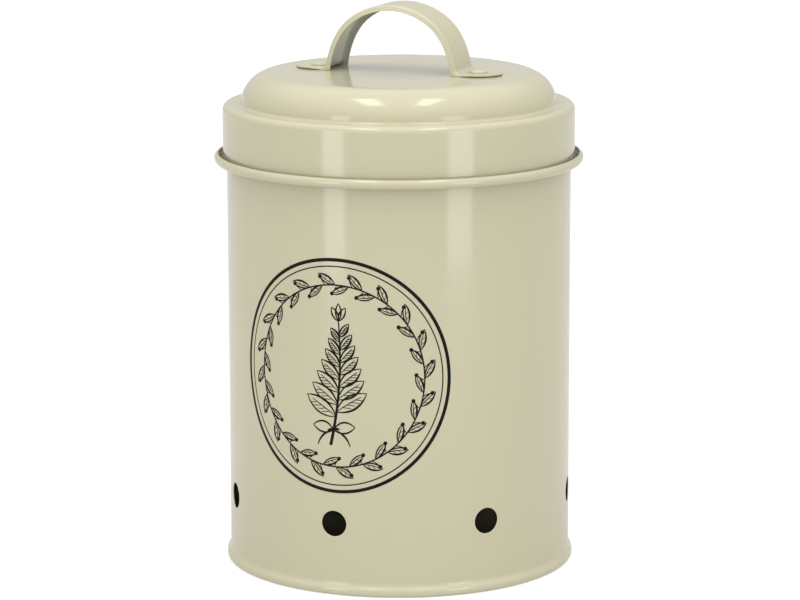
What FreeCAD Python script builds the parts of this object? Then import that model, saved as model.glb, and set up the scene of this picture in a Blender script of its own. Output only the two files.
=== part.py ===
import FreeCAD, Part
import Sketcher
import math
import os
import re

# Garlic keeper: a round vented drum of thin enamelled sheet steel with a slip-on lid.
# Frame: millimetres, +Z up, origin on the floor at the middle of the drum's foot.
# The middle vent looks along -Y, the lid's handle runs along X and the side lap is at +Y.

SIZES = {
    # drum: the rolled side wall
    "drum_radius": 63.0,          # outside of the wall
    "drum_height": 168.7,         # floor to the top of the rolled rim
    "drum_sheet": 0.4,
    "rim_curl_radius": 1.5,       # inward roll along the mouth, outside of the roll
    "rim_curl_turn": 240.0,       # degrees that the roll winds from the wall
    "side_lap_width": 5.0,        # where the two ends of the sheet overlap at the back
    "side_lap_margin": 0.6,       # lap's ends, clear of the foot seam and of the rim's roll
    "vent_count": 7,
    "vent_diameter": 9.4,
    "vent_height": 25.9,          # floor to the middle of a vent
    # foot: the base disc is folded together with the wall, five layers of sheet
    "seam_height": 4.6,
    "seam_gap": 0.03,             # between two layers of the fold
    "seam_bevel": 0.3,            # corners of each bend of the fold
    "hook_clearance": 0.9,        # from the end of each hook to the bend beyond it
    "base_recess": 4.2,           # floor to the underside of the base panel
    "base_corner_radius": 1.2,
    # lid: one pressed shell
    "lid_sheet": 0.4,
    "lid_side_clearance": 1.0,    # wall to the inside of the skirt
    "lid_seat_gap": 0.3,          # rim to the underside of the ledge
    "skirt_depth": 21.7,          # ledge to the lowest point of the hem
    "hem_radius": 1.8,            # outward roll along the skirt's edge, outside of the roll
    "hem_turn": 255.0,            # degrees that the hem winds from the skirt
    "lid_corner_radius": 2.3,
    "ledge_width": 5.6,           # skirt's outside to the foot of the dome
    "cove_radius": 1.2,
    "dome_radius": 11.7,          # side of the raised middle, seen in section
    "dome_height": 11.35,         # ledge to the flat top
    # handle: one strap with turned-in edges
    "handle_width": 18.0,
    "handle_sheet": 0.8,
    "handle_rise": 24.85,         # flat top of the lid to the top of the arch
    "arch_radius": 26.6,          # outside of the arch
    "fold_radius": 1.0,           # hollow side of the bend between arch and tab
    "flange_depth": 2.6,          # turned-in edge, from the outside of the arch
    "strap_edge_bevel": 0.4,
    "tab_gap": 0.05,              # tab to the lid
    # rivets
    "rivet_head_diameter": 7.0,
    "rivet_head_height": 1.1,
    "rivet_fold_clearance": 0.04,  # head to the foot of the fold
    "rivet_shank_diameter": 3.6,
    "rivet_hole_clearance": 0.1,  # hole's diameter over the shank's
    "rivet_tail_diameter": 5.6,
    "rivet_tail_height": 1.0,
}

# Places and sizes that follow from the driving ones, as formulas in their names.
WORKED_OUT = {
    # drum and foot
    "wall_inside": "drum_radius - drum_sheet",
    "rim_curl_x": "drum_radius - rim_curl_radius",
    "rim_curl_z": "drum_height - rim_curl_radius",
    "rim_curl_bore": "rim_curl_radius - drum_sheet",
    "wall_foot": "drum_sheet + seam_gap",
    "wall_foot_floor": "wall_foot + drum_sheet",
    "base_hook_inside": "drum_radius + seam_gap",
    "base_hook_outside": "base_hook_inside + drum_sheet",
    "base_hook_end": "wall_foot_floor + hook_clearance",
    "wall_hook_inside": "base_hook_outside + seam_gap",
    "wall_hook_outside": "wall_hook_inside + drum_sheet",
    "seam_under": "seam_height - drum_sheet",
    "wall_hook_top": "seam_under - hook_clearance",
    "seam_inside": "wall_hook_outside + seam_gap",
    "seam_radius": "seam_inside + drum_sheet",
    "base_wall_outside": "wall_inside - seam_gap",
    "base_wall_inside": "base_wall_outside - drum_sheet",
    "base_top": "base_recess + drum_sheet",
    "base_corner_x": "base_wall_outside - base_corner_radius",
    "base_corner_z": "base_top - base_corner_radius",
    # lid
    "skirt_inside": "drum_radius + lid_side_clearance",
    "skirt_outside": "skirt_inside + lid_sheet",
    "ledge_under": "drum_height + lid_seat_gap",
    "ledge_top": "ledge_under + lid_sheet",
    "lid_corner_x": "skirt_outside - lid_corner_radius",
    "lid_corner_z": "ledge_top - lid_corner_radius",
    "hem_x": "skirt_inside + hem_radius",
    "hem_z": "ledge_top - skirt_depth + hem_radius",
    "hem_bore": "hem_radius - lid_sheet",
    "lid_top": "ledge_top + dome_height",
    "dome_z": "lid_top - dome_radius",
    "cove_x": "skirt_outside - ledge_width",
    "cove_z": "ledge_top + cove_radius",
    "cove_lift": "cove_z - dome_z",
    "cove_reach": "sqrt((dome_radius + cove_radius) ^ 2 - cove_lift ^ 2)",
    "dome_x": "cove_x - cove_reach",
    "dome_share": "dome_radius / (dome_radius + cove_radius)",
    # handle
    "tab_under": "lid_top + tab_gap",
    "tab_top": "tab_under + handle_sheet",
    "arch_z": "lid_top + handle_rise - arch_radius",
    "arch_bore": "arch_radius - handle_sheet",
    "arch_middle": "arch_radius - handle_sheet / 2",
    "fold_z": "tab_top + fold_radius",
    "fold_middle_z": "tab_top - handle_sheet / 2",
    "fold_lift": "fold_z - arch_z",
    "fold_x": "sqrt((arch_radius + fold_radius) ^ 2 - fold_lift ^ 2)",
    "flange_bore": "arch_radius - flange_depth",
    "flange_lift": "tab_under - arch_z",
    "flange_foot_x": "sqrt(flange_bore ^ 2 - flange_lift ^ 2)",
    "rivet_x": "fold_x + rivet_fold_clearance + rivet_head_diameter / 2",
    "tab_end_x": "rivet_x + handle_width / 2",
    # rivets
    "rivet_grip": "handle_sheet + tab_gap + lid_sheet",
    "rivet_hole_radius": "(rivet_shank_diameter + rivet_hole_clearance) / 2",
    "head_radius": "rivet_head_diameter / 2",
    "tail_radius": "rivet_tail_diameter / 2",
    "head_ball": "(head_radius ^ 2 + rivet_head_height ^ 2) / (2 * rivet_head_height)",
    "tail_ball": "(tail_radius ^ 2 + rivet_tail_height ^ 2) / (2 * rivet_tail_height)",
}

START, END, CENTRE = 1, 2, 3      # points of a sketch's line or arc
ALONG_X, ALONG_Y = -1, -2         # a sketch's own axes
WORD = re.compile(r"[a-z][a-z_]+")
TOLERANCE = 1e-4

doc = FreeCAD.newDocument("garlic_keeper")
sheet = doc.addObject("Spreadsheet::Sheet", "Sizes")
for row, (alias, size) in enumerate(SIZES.items(), start=1):
    sheet.set(f"A{row}", alias)
    sheet.set(f"B{row}", str(size))
    sheet.setAlias(f"B{row}", alias)
doc.recompute()


def spelled_out(formula):
    """Return the formula in driving sizes only."""
    return WORD.sub(lambda word: f"({spelled_out(WORKED_OUT[word[0]])})"
                    if word[0] in WORKED_OUT else word[0], formula)


def bound(formula):
    """Return the formula as an expression on the spreadsheet's cells."""
    return WORD.sub(lambda word: f"Sizes.{word[0]}" if word[0] in SIZES else word[0],
                    spelled_out(formula))


def worth(formula):
    """Return the formula's present value."""
    return float(sheet.evalExpression(spelled_out(formula)))


def new_body(label):
    """Return an empty body that is named after its piece."""
    body = doc.addObject("PartDesign::Body", label)
    body.Label = label
    return body


def origin_plane(body, role):
    """Return one of the body's own origin planes."""
    return [item for item in body.Origin.OriginFeatures if item.Role == role][0]


def new_sketch(body, name, plane, height=None):
    """Return a sketch on one of the body's own origin planes, raised by a formula if given."""
    sketch = body.newObject("Sketcher::SketchObject", name)
    sketch.AttachmentSupport = [(origin_plane(body, plane), "")]
    sketch.MapMode = "FlatFace"
    if height is not None:
        sketch.setExpression("AttachmentOffset.Base.z", bound(height))
    return sketch


def lock(sketch, piece, point, x_formula=None, y_formula=None):
    """Tie a point of the sketch to formulas for its distances from the origin."""
    for kind, axis, formula in (("DistanceX", ALONG_Y, x_formula), ("DistanceY", ALONG_X, y_formula)):
        if formula is None:
            continue
        if formula == "0":
            sketch.addConstraint(Sketcher.Constraint("PointOnObject", piece, point, axis))
            continue
        number = sketch.addConstraint(Sketcher.Constraint(kind, piece, point, worth(formula)))
        sketch.setExpression(f"Constraints[{number}]", bound(formula))


def outline(sketch, corners):
    """Draw a closed outline through the corners and tie every corner to its formulas.

    A corner is (x, y), reached by a straight line, or (x, y, centre_x, centre_y, turn), reached
    by an arc round that centre that turns left for 1 and right for -1.
    """
    places = [FreeCAD.Vector(worth(corner[0]), worth(corner[1]), 0) for corner in corners]
    first = sketch.GeometryCount
    ends = []
    for number, corner in enumerate(corners):
        begin, finish = places[number - 1], places[number]
        if len(corner) == 2:
            sketch.addGeometry(Part.LineSegment(begin, finish), False)
            ends.append((START, END))
            continue
        centre = FreeCAD.Vector(worth(corner[2]), worth(corner[3]), 0)
        angles = [math.atan2(place.y - centre.y, place.x - centre.x) for place in (begin, finish)]
        if corner[4] < 0:
            angles.reverse()
        if angles[1] <= angles[0]:
            angles[1] += 2 * math.pi
        circle = Part.Circle(centre, FreeCAD.Vector(0, 0, 1), (begin - centre).Length)
        sketch.addGeometry(Part.ArcOfCircle(circle, angles[0], angles[1]), False)
        ends.append((START, END) if corner[4] > 0 else (END, START))
    count = len(corners)
    for number in range(count):
        follower = (number + 1) % count
        sketch.addConstraint(Sketcher.Constraint(
            "Coincident", first + number, ends[number][1], first + follower, ends[follower][0]))
    for number, corner in enumerate(corners):
        lock(sketch, first + number, ends[number][1], corner[0], corner[1])
        if len(corner) > 2:
            chord = places[number] - places[number - 1]
            if abs(chord.y) > abs(chord.x):
                lock(sketch, first + number, CENTRE, x_formula=corner[2])
            else:
                lock(sketch, first + number, CENTRE, y_formula=corner[3])


def rolled(centre_x, centre_z, radius, begin, turn, flats):
    """Return the corners of a bend seen in section, made of flats, from its beginning to its end."""
    corners = []
    for step in range(flats + 1):
        angle = f"({begin} + ({turn}) * {step} / {flats})"
        corners.append((f"{centre_x} + ({radius}) * cos{angle}", f"{centre_z} + ({radius}) * sin{angle}"))
    return corners


def round_hole(sketch, x_formula, y_formula, radius_formula):
    """Draw a circle that is tied to formulas for its centre and its radius."""
    centre = FreeCAD.Vector(worth(x_formula), worth(y_formula), 0)
    circle = Part.Circle(centre, FreeCAD.Vector(0, 0, 1), worth(radius_formula))
    piece = sketch.addGeometry(circle, False)
    lock(sketch, piece, CENTRE, x_formula, y_formula)
    number = sketch.addConstraint(Sketcher.Constraint("Radius", piece, worth(radius_formula)))
    sketch.setExpression(f"Constraints[{number}]", bound(radius_formula))


def turned(body, name, sketch, angle="360"):
    """Add the sketch's outline, turned about the upright axis."""
    turn = body.newObject("PartDesign::Revolution", name)
    turn.Profile = sketch
    turn.ReferenceAxis = (sketch, ["V_Axis"])
    turn.Midplane = True
    turn.setExpression("Angle", bound(angle))
    return turn


def padded(body, name, sketch, length, both_ways=False):
    """Add the sketch's outline, drawn out along the sketch's normal."""
    pad = body.newObject("PartDesign::Pad", name)
    pad.Profile = sketch
    pad.Midplane = both_ways
    pad.setExpression("Length", bound(length))
    return pad


def cut_through(body, name, sketch):
    """Cut the sketch's outline right through the body, to both sides of the sketch."""
    pocket = body.newObject("PartDesign::Pocket", name)
    pocket.Profile = sketch
    pocket.Type = "ThroughAll"
    pocket.Midplane = True
    return pocket


def side_wall():
    """The drum's wall: rolled rim, hook of the foot seam, side lap and the ring of vents."""
    body = new_body("side_wall")
    section = new_sketch(body, "WallSection", "XZ_Plane")
    curl = [rolled("rim_curl_x", "rim_curl_z", radius, 0, "rim_curl_turn", flats)
            for radius, flats in (("rim_curl_radius", 8), ("rim_curl_bore", 4))]
    outline(section, [
        *reversed(curl[0]),
        ("drum_radius", "wall_foot_floor"),
        ("wall_hook_inside", "wall_foot_floor"),
        ("wall_hook_inside", "wall_hook_top"),
        ("wall_hook_outside", "wall_hook_top"),
        ("wall_hook_outside", "wall_foot + seam_bevel"),
        ("wall_hook_outside - seam_bevel", "wall_foot"),
        ("wall_inside + seam_bevel", "wall_foot"),
        ("wall_inside", "wall_foot + seam_bevel"),
        *curl[1],
    ])
    turned(body, "RolledWall", section)

    lap = new_sketch(body, "LapSection", "YZ_Plane")
    lap_inside = "drum_radius - drum_sheet / 2"
    lap_outside = "drum_radius + drum_sheet"
    lap_foot = "seam_height + side_lap_margin"
    lap_head = "rim_curl_z - side_lap_margin"
    outline(lap, [(lap_inside, lap_foot), (lap_outside, lap_foot),
                  (lap_outside, lap_head), (lap_inside, lap_head)])
    turned(body, "SideLap", lap, "side_lap_width / drum_radius * 180 / pi")

    vent = new_sketch(body, "VentCircle", "XZ_Plane")
    round_hole(vent, "0", "vent_height", "vent_diameter / 2")
    pocket = body.newObject("PartDesign::Pocket", "FrontVent")
    pocket.Profile = vent
    pocket.Reversed = True
    pocket.setExpression("Length", bound("drum_radius + drum_sheet"))
    ring = body.newObject("PartDesign::PolarPattern", "VentRing")
    ring.Originals = [pocket]
    ring.Axis = (vent, ["V_Axis"])
    ring.Angle = 360
    ring.setExpression("Occurrences", bound("vent_count"))
    body.Tip = ring
    return body


def base_disc():
    """The base: recessed panel, its short wall and the fold that wraps the drum's hook."""
    body = new_body("base_disc")
    section = new_sketch(body, "BaseSection", "XZ_Plane")
    outline(section, [
        ("0", "base_top"),
        *reversed(rolled("base_corner_x", "base_corner_z", "base_corner_radius", 0, 90, 2)),
        ("base_wall_outside", "drum_sheet"),
        ("seam_inside", "drum_sheet"),
        ("seam_inside", "seam_under"),
        ("base_hook_outside", "seam_under"),
        ("base_hook_outside", "base_hook_end"),
        ("base_hook_inside", "base_hook_end"),
        ("base_hook_inside", "seam_height - seam_bevel"),
        ("base_hook_inside + seam_bevel", "seam_height"),
        ("seam_radius - seam_bevel", "seam_height"),
        ("seam_radius", "seam_height - seam_bevel"),
        ("seam_radius", "seam_bevel"),
        ("seam_radius - seam_bevel", "0"),
        ("base_wall_inside + seam_bevel", "0"),
        ("base_wall_inside", "seam_bevel"),
        *rolled("base_corner_x", "base_corner_z", "base_corner_radius - drum_sheet", 0, 90, 2),
        ("0", "base_recess"),
    ])
    turned(body, "PressedBase", section)
    return body


def lid_shell():
    """The lid: flat top, rounded dome side, ledge, skirt and the open hem rolled outwards."""
    body = new_body("lid_shell")
    section = new_sketch(body, "LidSection", "XZ_Plane")
    cove_turn = "asin(cove_lift / (dome_radius + cove_radius)) / 1deg - 90"
    outline(section, [
        ("0", "lid_top"),
        ("dome_x", "lid_top"),
        ("dome_x + cove_reach * dome_share", "dome_z + cove_lift * dome_share", "dome_x", "dome_z", -1),
        ("cove_x", "ledge_top", "cove_x", "cove_z", 1),
        ("lid_corner_x", "ledge_top"),
        ("skirt_outside", "lid_corner_z", "lid_corner_x", "lid_corner_z", -1),
        *rolled("hem_x", "hem_z", "hem_bore", 180, "hem_turn", 6),
        ("hem_x + hem_radius * cos(180 + hem_turn)", "hem_z + hem_radius * sin(180 + hem_turn)"),
        ("skirt_inside", "hem_z", "hem_x", "hem_z", -1),
        *rolled("lid_corner_x", "lid_corner_z", "lid_corner_radius - lid_sheet", 0, 90, 3),
        *rolled("cove_x", "cove_z", "cove_radius + lid_sheet", 270, cove_turn, 3),
        ("dome_x", "lid_top - lid_sheet", "dome_x", "dome_z", 1),
        ("0", "lid_top - lid_sheet"),
    ])
    turned(body, "PressedShell", section)
    holes = new_sketch(body, "RivetHoles", "XY_Plane")
    for side in ("", "-"):
        round_hole(holes, f"{side}rivet_x", "0", "rivet_hole_radius")
    cut_through(body, "RivetHoleCut", holes)
    return body


def strap_side(body):
    """Draw the strap from the side: tab, fold, arch, fold and tab, all running on smoothly."""
    section = new_sketch(body, "StrapSide", "XZ_Plane")
    corners = []
    for radius, level, sense in (("arch_radius", "tab_top", 1), ("arch_bore", "tab_under", -1)):
        near, far = ("", "-") if sense > 0 else ("-", "")
        meet_x = f"fold_x * {radius} / (arch_radius + fold_radius)"
        meet_z = f"arch_z + fold_lift * {radius} / (arch_radius + fold_radius)"
        corners += [
            (f"{near}tab_end_x", level),
            (f"{near}fold_x", level),
            (f"{near}{meet_x}", meet_z, f"{near}fold_x", "fold_z", -sense),
            (f"{far}{meet_x}", meet_z, "0", "arch_z", sense),
            (f"{far}fold_x", level, f"{far}fold_x", "fold_z", -sense),
            (f"{far}tab_end_x", level),
        ]
    outline(section, corners)
    return section


def flange_side(body):
    """Draw one turned-in edge from the side, from the middle of the strap's sheet inwards."""
    section = new_sketch(body, "FlangeSide", "XZ_Plane", "handle_width / 2 - handle_sheet")
    middle_x = "fold_x * arch_middle / (arch_radius + fold_radius)"
    middle_z = "arch_z + fold_lift * arch_middle / (arch_radius + fold_radius)"
    outline(section, [
        ("flange_foot_x", "tab_under", "0", "arch_z", -1),
        ("fold_x", "tab_under"),
        ("fold_x", "fold_middle_z"),
        (middle_x, middle_z, "fold_x", "fold_z", -1),
        (f"-{middle_x}", middle_z, "0", "arch_z", 1),
        ("-fold_x", "fold_middle_z", "-fold_x", "fold_z", -1),
        ("-fold_x", "tab_under"),
        ("-flange_foot_x", "tab_under"),
    ])
    return section


def handle_strap():
    """The handle: one arched strap with turned-in edges and two round-ended riveted tabs."""
    body = new_body("handle_strap")
    padded(body, "Strap", strap_side(body), "handle_width", both_ways=True)
    flange = padded(body, "Flange", flange_side(body), "handle_sheet")
    mirror = body.newObject("PartDesign::Mirrored", "FarFlange")
    mirror.Originals = [flange]
    mirror.MirrorPlane = (origin_plane(body, "XZ_Plane"), [""])
    body.Tip = mirror

    ends = new_sketch(body, "TabEnds", "XY_Plane")
    for side, turn in (("", -1), ("-", 1)):
        rivet, beyond = f"{side}rivet_x", f"{side}(tab_end_x + handle_width)"
        outline(ends, [
            (rivet, "-handle_width / 2", rivet, "0", turn),
            (rivet, "-handle_width"),
            (beyond, "-handle_width"),
            (beyond, "handle_width"),
            (rivet, "handle_width"),
            (rivet, "handle_width / 2"),
        ])
    cut_through(body, "TabEndCut", ends)

    holes = new_sketch(body, "RivetHoles", "XY_Plane")
    for side in ("", "-"):
        round_hole(holes, f"{side}rivet_x", "0", "rivet_hole_radius")
    cut = cut_through(body, "RivetHoleCut", holes)
    doc.recompute()

    bevel = body.newObject("PartDesign::Chamfer", "OuterEdges")
    bevel.Base = (cut, edges_on_arch(cut.Shape))
    bevel.setExpression("Size", bound("strap_edge_bevel"))
    return body


def edges_on_arch(shape):
    """Return the names of the two edges along the outside of the handle's arch."""
    crown = worth("arch_z + arch_radius")
    names = []
    for number, edge in enumerate(shape.Edges, start=1):
        middle = edge.valueAt((edge.FirstParameter + edge.LastParameter) / 2)
        at_side = abs(abs(middle.y) - worth("handle_width / 2")) < TOLERANCE
        if at_side and abs(middle.z - crown) < TOLERANCE:
            names.append(f"Edge{number}")
    return names


def rivet(label, side):
    """One rivet: low round head on the tab, shank through tab and lid, formed tail below."""
    body = new_body(label)
    section = new_sketch(body, "RivetSection", "XZ_Plane")
    shank = "rivet_shank_diameter / 2"
    outline(section, [
        ("0", "rivet_head_height"),
        ("head_radius", "0", "0", "rivet_head_height - head_ball", -1),
        (shank, "0"),
        (shank, "-rivet_grip"),
        ("tail_radius", "-rivet_grip"),
        ("0", "-rivet_grip - rivet_tail_height",
         "0", "tail_ball - rivet_grip - rivet_tail_height", -1),
    ])
    turned(body, "TurnedRivet", section)
    body.setExpression("Placement.Base.x", bound(f"{side}rivet_x"))
    body.setExpression("Placement.Base.z", bound("tab_top"))
    return body


def check_model(pieces):
    """Stop if an object failed, a cut removed nothing or a piece isn't one sound solid."""
    failed = [item.Label for item in doc.Objects if {"Invalid", "Error"} & set(item.State)]
    if failed:
        raise RuntimeError(f"failed objects: {failed}")
    for cut in doc.findObjects("PartDesign::Pocket"):
        if cut.Shape.Volume >= cut.BaseFeature.Shape.Volume - TOLERANCE:
            raise RuntimeError(f"{cut.Label} cuts nothing")
    for piece in pieces:
        shape = piece.Shape
        if shape.isNull() or not shape.isValid() or len(shape.Solids) != 1:
            raise RuntimeError(f"{piece.Label} isn't one sound solid")


pieces = [side_wall(), base_disc(), lid_shell(), handle_strap(),
          rivet("left_rivet", "-"), rivet("right_rivet", "")]
doc.recompute()
check_model(pieces)
os.makedirs("parts", exist_ok=True)
for piece in pieces:
    piece.Shape.exportStep(f"parts/{piece.Label}.step")
    print(piece.Label, piece.Shape.BoundBox, f"volume {piece.Shape.Volume:.1f}")
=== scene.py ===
"""A garlic keeper of thin enamelled sheet steel: vented drum, folded base, slip-on lid and riveted handle.

Sizes are in millimetres and are turned into metres when a mesh is made. +Z is up, the middle vent looks
along -Y, the handle runs along X and the wall's side lap is at +Y.
"""

from __future__ import annotations

import logging
import math
from dataclasses import dataclass, field
from enum import Enum
from typing import Callable, Iterable, Sequence

import bmesh
import bpy
from mathutils import Matrix, Vector

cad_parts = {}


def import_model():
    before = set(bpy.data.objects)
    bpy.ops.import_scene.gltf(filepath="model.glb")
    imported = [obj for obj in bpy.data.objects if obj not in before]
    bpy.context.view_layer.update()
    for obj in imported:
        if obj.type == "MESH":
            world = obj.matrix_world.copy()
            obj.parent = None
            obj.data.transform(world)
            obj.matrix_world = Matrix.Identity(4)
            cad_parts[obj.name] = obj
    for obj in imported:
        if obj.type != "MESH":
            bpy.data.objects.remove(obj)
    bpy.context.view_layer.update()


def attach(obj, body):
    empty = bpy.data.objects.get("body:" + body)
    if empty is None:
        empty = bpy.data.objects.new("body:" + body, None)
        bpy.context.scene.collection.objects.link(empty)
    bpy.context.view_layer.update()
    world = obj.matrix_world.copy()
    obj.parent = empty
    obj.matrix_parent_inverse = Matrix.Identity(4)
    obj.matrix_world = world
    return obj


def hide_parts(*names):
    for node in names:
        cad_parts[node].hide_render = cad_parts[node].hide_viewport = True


LOG = logging.getLogger("garlic_keeper")
MM = 0.001
NEAR = 1e-6
# Vertex masks that paint light into the enamel's colour: a lighter painted highlight along the sheet's edges,
# and a grey-blue painted reflection with shade on the strap's hollow side.
EDGE_HIGHLIGHT_MASK = "painted_edge_highlight"
# Mask of the strap's hollow side, where the grey-blue is a painted reflection with shade.
HOLLOW_SHADE_MASK = "hollow_side_painted_shade"
MIX_FIRST, MIX_SECOND, MIX_RESULT = 6, 7, 2   # a colour mix node's sockets

Point = tuple[float, float]


class Body(Enum):
    """The frame's bodies that the pieces ride on."""

    DRUM = "drum"
    LID = "lid"


class Slot(Enum):
    """The record's material slots."""

    ENAMEL = "cream_enamel"
    PRINT = "black_print"


class Socket(Enum):
    """Socket kinds that node groups take in and give out."""

    COLOUR = "NodeSocketColor"
    VALUE = "NodeSocketFloat"
    VECTOR = "NodeSocketVector"
    COUNT = "NodeSocketInt"
    MATERIAL = "NodeSocketMaterial"
    GEOMETRY = "NodeSocketGeometry"


# Mesh building


@dataclass
class Shape:
    """Vertices and faces of one closed surface, with masks of the sheet's thin edges (painted highlight) and
    hollow side (painted reflection and shade).
    """

    places: list[tuple[float, float, float]] = field(default_factory=list)
    faces: list[tuple[int, ...]] = field(default_factory=list)
    thin: list[float] = field(default_factory=list)
    hollow: list[float] = field(default_factory=list)

    def add(self, x: float, y: float, z: float, thin: float = 0.0, hollow: float = 0.0) -> int:
        """Add a vertex.

        Args:
            x: Place along X in mm.
            y: Place along Y in mm.
            z: Place along Z in mm.
            thin: 1 on a raw or sharply bent edge of the sheet, where the enamel paints a lighter highlight,
                else 0.
            hollow: 1 on the hollow side of a strap, which the enamel paints grey-blue as a painted reflection
                with shade, else 0.

        Returns:
            The vertex's number.
        """
        self.places.append((x * MM, y * MM, z * MM))
        self.thin.append(thin)
        self.hollow.append(hollow)
        return len(self.places) - 1

    def band(self, first: Sequence[int], second: Sequence[int], closed: bool = True) -> None:
        """Join two rows of vertices with four-sided faces.

        Args:
            first: One row of vertex numbers.
            second: The other row, of the same length.
            closed: True if the rows run round and meet themselves.
        """
        count = len(first)
        for here in range(count if closed else count - 1):
            after = (here + 1) % count
            ring = (first[here], first[after], second[after], second[here])
            self.faces.append(tuple(dict.fromkeys(ring)))

    def build(self, name: str, merge: float = 1e-7) -> bpy.types.Object:
        """Make the object, with its faces turned outwards and its shading smooth.

        Args:
            name: Name of the object and of its mesh.
            merge: Distance in metres under which vertices become one.

        Returns:
            The new object, linked to the scene.
        """
        mesh = bpy.data.meshes.new(name)
        mesh.from_pydata(self.places, [], [face for face in self.faces if len(face) > 2])
        for title, values in ((EDGE_HIGHLIGHT_MASK, self.thin), (HOLLOW_SHADE_MASK, self.hollow)):
            mesh.attributes.new(title, "FLOAT", "POINT").data.foreach_set("value", values)
        work = bmesh.new()
        work.from_mesh(mesh)
        bmesh.ops.remove_doubles(work, verts=work.verts, dist=merge)
        loose = [vertex for vertex in work.verts if not vertex.link_faces]
        bmesh.ops.delete(work, geom=loose, context="VERTS")
        bmesh.ops.recalc_face_normals(work, faces=work.faces)
        work.to_mesh(mesh)
        work.free()
        mesh.polygons.foreach_set("use_smooth", [True] * len(mesh.polygons))
        mesh.update()
        made = bpy.data.objects.new(name, mesh)
        bpy.context.scene.collection.objects.link(made)
        return made


@dataclass(frozen=True)
class Spot:
    """A point on a sheet's middle line, with the way the line runs there."""

    x: float
    z: float
    along_x: float
    along_z: float


class SheetLine:
    """The middle line of a bent sheet, seen in section from the axis outwards."""

    def __init__(self, x: float, z: float, thickness: float) -> None:
        """Start the line.

        Args:
            x: Distance of the first point from the axis.
            z: Height of the first point.
            thickness: Thickness of the sheet.
        """
        self.thickness = thickness
        self.spots: list[Spot] = []
        self._x, self._z = x, z

    def _mark(self, x: float, z: float, along_x: float, along_z: float) -> None:
        """Add a spot, unless it falls on the last one.

        Args:
            x: Distance of the spot from the axis.
            z: Height of the spot.
            along_x: The line's run there, outwards.
            along_z: The line's run there, upwards.
        """
        last = self.spots[-1] if self.spots else None
        if last is None or math.hypot(last.x - x, last.z - z) > 1e-6:
            self.spots.append(Spot(x, z, along_x, along_z))

    def run(self, x: float, z: float, hold: float = 0.25,
            stops: Iterable[float] = ()) -> SheetLine:
        """Run straight to a point.

        Args:
            x: Distance of the point from the axis.
            z: Height of the point.
            hold: Distance from each end at which an extra point keeps the run flat.
            stops: Distances from the run's start of further points.

        Returns:
            The line itself.
        """
        step_x, step_z = x - self._x, z - self._z
        length = math.hypot(step_x, step_z)
        along_x, along_z = step_x / length, step_z / length
        ways = {0.0, length, *stops}
        if length > 3 * hold:
            ways |= {hold, length - hold}
        for way in sorted(ways):
            self._mark(self._x + along_x * way, self._z + along_z * way, along_x, along_z)
        self._x, self._z = x, z
        return self

    def bend(self, centre_x: float, centre_z: float, turn: float, steps: int) -> SheetLine:
        """Bend round a centre.

        Args:
            centre_x: Distance of the centre from the axis.
            centre_z: Height of the centre.
            turn: Angle in degrees, counter-clockwise when above 0.
            steps: Number of short pieces that the bend is made of.

        Returns:
            The line itself.
        """
        radius = math.hypot(self._x - centre_x, self._z - centre_z)
        begin = math.atan2(self._z - centre_z, self._x - centre_x)
        way = math.copysign(1.0, turn)
        for step in range(steps + 1):
            angle = begin + math.radians(turn) * step / steps
            self._mark(centre_x + radius * math.cos(angle), centre_z + radius * math.sin(angle),
                       -way * math.sin(angle), way * math.cos(angle))
        self._x, self._z = self.spots[-1].x, self.spots[-1].z
        return self

    def section(self) -> list[tuple[float, float, float]]:
        """Return the outline of the sheet.

        Returns:
            Points (distance from the axis, height, thin edge mask) round the sheet: its right side
            as the line runs, the raw end, its left side, and the raw start if it is off the axis.
        """
        half = self.thickness / 2
        right = [(s.x + half * s.along_z, s.z - half * s.along_x, 0.0) for s in self.spots]
        left = [(s.x - half * s.along_z, s.z + half * s.along_x, 0.0) for s in self.spots]
        head = self._cap(self.spots[-1], 1.0)
        tail = self._cap(self.spots[0], -1.0) if self.spots[0].x > half else []
        return right + head + left[::-1] + tail

    def _cap(self, spot: Spot, way: float) -> list[tuple[float, float, float]]:
        """Round off the sheet's raw edge at one end of the line.

        Args:
            spot: The line's first or last spot.
            way: 1 at the line's end, -1 at its start.

        Returns:
            The points of the rounded edge.
        """
        half, points = self.thickness / 2, []
        ahead = math.atan2(spot.along_z * way, spot.along_x * way)
        # The raw edge's points carry the edge mask, where the enamel paints a highlight.
        for step in range(1, 6):
            angle = ahead - math.pi / 2 + math.pi * step / 6
            points.append((spot.x + half * math.cos(angle), spot.z + half * math.sin(angle), 1.0))
        return points


def spin(shape: Shape, section: Sequence[tuple[float, float, float]], angles: Sequence[float],
         gap: Callable[[int, int], bool] = lambda row, column: False,
         swell: Callable[[int, int], float] = lambda row, column: 0.0) -> list[list[int]]:
    """Turn a section about the upright axis into a shape.

    Args:
        shape: Shape that takes the vertices and faces.
        section: Closed outline of (distance from the axis, height, thin edge mask).
        angles: Angle of each column in radians, rising round the full turn.
        gap: Says which faces are left out, by row and column.
        swell: Gives what is added to the distance from the axis, by row and column.

    Returns:
        The vertex numbers, by row of the section and by column.
    """
    rows: list[list[int]] = []
    for row, (reach, height, thin) in enumerate(section):
        if reach < 1e-6:
            rows.append([shape.add(0.0, 0.0, height, thin)] * len(angles))
            continue
        line = []
        for column, angle in enumerate(angles):
            out = reach + swell(row, column)
            line.append(shape.add(out * math.cos(angle), out * math.sin(angle), height, thin))
        rows.append(line)
    for row in range(len(rows)):
        follower = (row + 1) % len(rows)
        for column in range(len(angles)):
            after = (column + 1) % len(angles)
            if gap(row, column):
                continue
            ring = (rows[row][column], rows[row][after], rows[follower][after], rows[follower][column])
            shape.faces.append(tuple(dict.fromkeys(ring)))
    return rows


def even_angles(count: int, begin: float = -90.0) -> list[float]:
    """Return evenly spaced angles round a full turn.

    Args:
        count: Number of angles.
        begin: First angle in degrees.

    Returns:
        The angles in radians.
    """
    return [math.radians(begin + 360.0 * step / count) for step in range(count)]


# Shader node groups


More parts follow.
